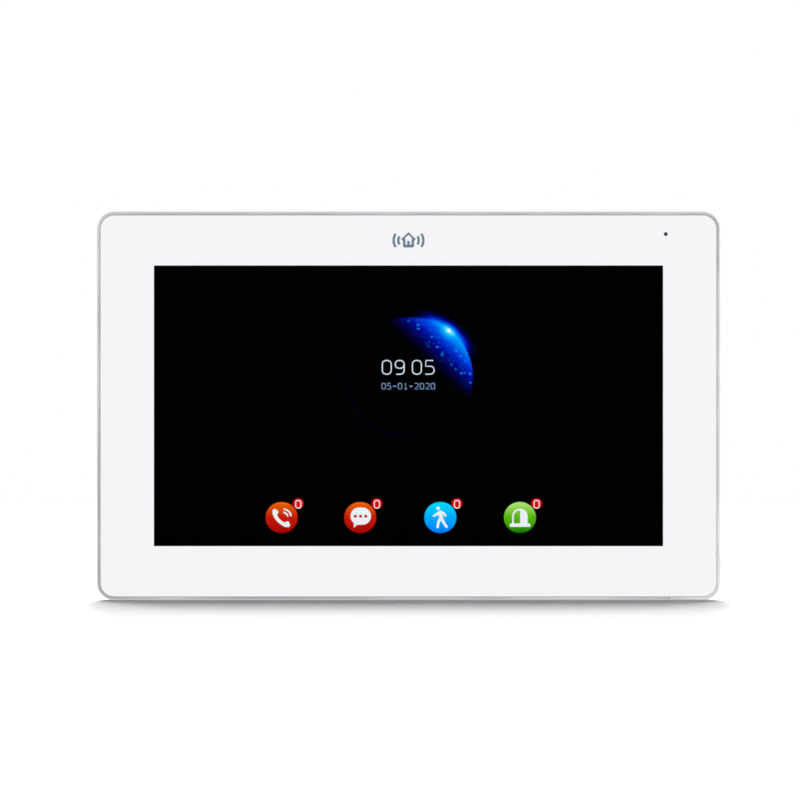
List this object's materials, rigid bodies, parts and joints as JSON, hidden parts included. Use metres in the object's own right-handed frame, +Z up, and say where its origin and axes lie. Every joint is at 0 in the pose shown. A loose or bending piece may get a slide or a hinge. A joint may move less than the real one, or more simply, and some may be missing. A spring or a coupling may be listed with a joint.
{
  "type": "video intercom monitor",
  "caption": "Slim wall-hung video intercom monitor: white-bordered glass touch screen with silver trim on a steel hook bracket, with a side power key and a card slot.",
  "frame": {"origin": "on the wall plane, at the middle of the bracket's screw holes, behind the middle of the screen", "axes": "+X to the right and +Z up as a person faces the screen, +Y from the screen into the wall"},
  "size_m": [0.1896, 0.02, 0.1176],
  "materials": {
    "zinc_steel": "bright zinc plate",
    "cover_glass": "polished, with a white printed border on its back",
    "silver_trim": "satin anodised",
    "black_foam": "closed-cell foam",
    "white_plastic": "fine spark texture",
    "clear_film": "clear film",
    "flex_film": "amber film over copper",
    "can_metal": "tin plate",
    "black_rubber": "soft, matt",
    "wire_cover": "thin vinyl cover",
    "cell_glass": "dark polarised glass",
    "white_film": "diffusing film",
    "clear_acrylic": "clear acrylic",
    "screw_steel": "zinc-plated",
    "board": "green solder mask",
    "chip_plastic": "moulded epoxy",
    "heatsink": "plain aluminium",
    "ferrite": "sintered ferrite",
    "connector_plastic": "natural nylon",
    "black_plastic": "fine satin",
    "pin_brass": "tinned brass",
    "black_metal": "black paint",
    "cone_paper": "pressed paper",
    "black_cloth": "fine woven mesh",
    "label_film": "blank silver film"
  },
  "bodies": {
    "wall_plate": {"wall_bracket": "zinc_steel"},
    "monitor": {"front_glass": "cover_glass", "trim_ring": "silver_trim", "glass_tape": "black_foam", "front_frame": "white_plastic", "touch_sensor": "clear_film", "touch_flex": "flex_film", "microphone": "can_metal", "microphone_boot": "black_rubber", "microphone_leads": "wire_cover", "lcd_gasket": "black_foam", "lcd_bezel": "can_metal", "lcd_panel": "cell_glass", "diffuser_films": "white_film", "light_guide": "clear_acrylic", "led_strip": "flex_film", "lcd_back_plate": "can_metal", "lcd_flex": "flex_film", "lcd_clamps": "can_metal", "clamp_screws": "screw_steel", "main_board": "board", "board_screws": "screw_steel", "processor": "chip_plastic", "processor_heatsink": "heatsink", "memory_chips": "chip_plastic", "support_chips": "chip_plastic", "power_inductors": "ferrite", "filter_capacitors": "heatsink", "flex_connectors": "connector_plastic", "wire_connectors": "connector_plastic", "wifi_module": "can_metal", "wifi_antenna": "flex_film", "antenna_lead": "wire_cover", "battery_holder": "chip_plastic", "clock_battery": "can_metal", "card_socket": "can_metal", "power_switch": "black_plastic", "door_sockets": "connector_plastic", "camera_sockets": "connector_plastic", "power_socket": "connector_plastic", "socket_pins": "pin_brass", "speaker_basket": "black_metal", "speaker_magnet": "can_metal", "speaker_cone": "cone_paper", "speaker_gasket": "black_foam", "speaker_cloth": "black_cloth", "speaker_screws": "screw_steel", "speaker_leads": "wire_cover", "rear_cover": "white_plastic", "rating_label": "label_film", "wall_pads": "black_rubber", "case_screws": "screw_steel"},
    "power_key": {"power_key": "white_plastic"},
    "switch_plunger": {"switch_plunger": "black_plastic"},
    "memory_card": {"memory_card": "black_plastic"}
  },
  "joints": [
    {"name": "lift_off", "type": "slide", "parent": "wall_plate", "child": "monitor", "axis": [0, 0, 1], "range_m": [0, 0.0075]},
    {"name": "power_key_press", "type": "slide", "parent": "monitor", "child": "power_key", "axis": [-1, 0, 0], "range_m": [0, 0.00025], "stiffness_N_per_m": 1600},
    {"name": "switch_plunger_press", "type": "slide", "parent": "monitor", "child": "switch_plunger", "axis": [-1, 0, 0], "range_m": [-0.0001, 0.0006]},
    {"name": "card_slide", "type": "slide", "parent": "monitor", "child": "memory_card", "axis": [1, 0, 0], "range_m": [-0.0008, 0.016]}
  ],
  "couplings": [
    {"joint": "switch_plunger_press", "follows": "power_key_press", "ratio": 1}
  ]
}
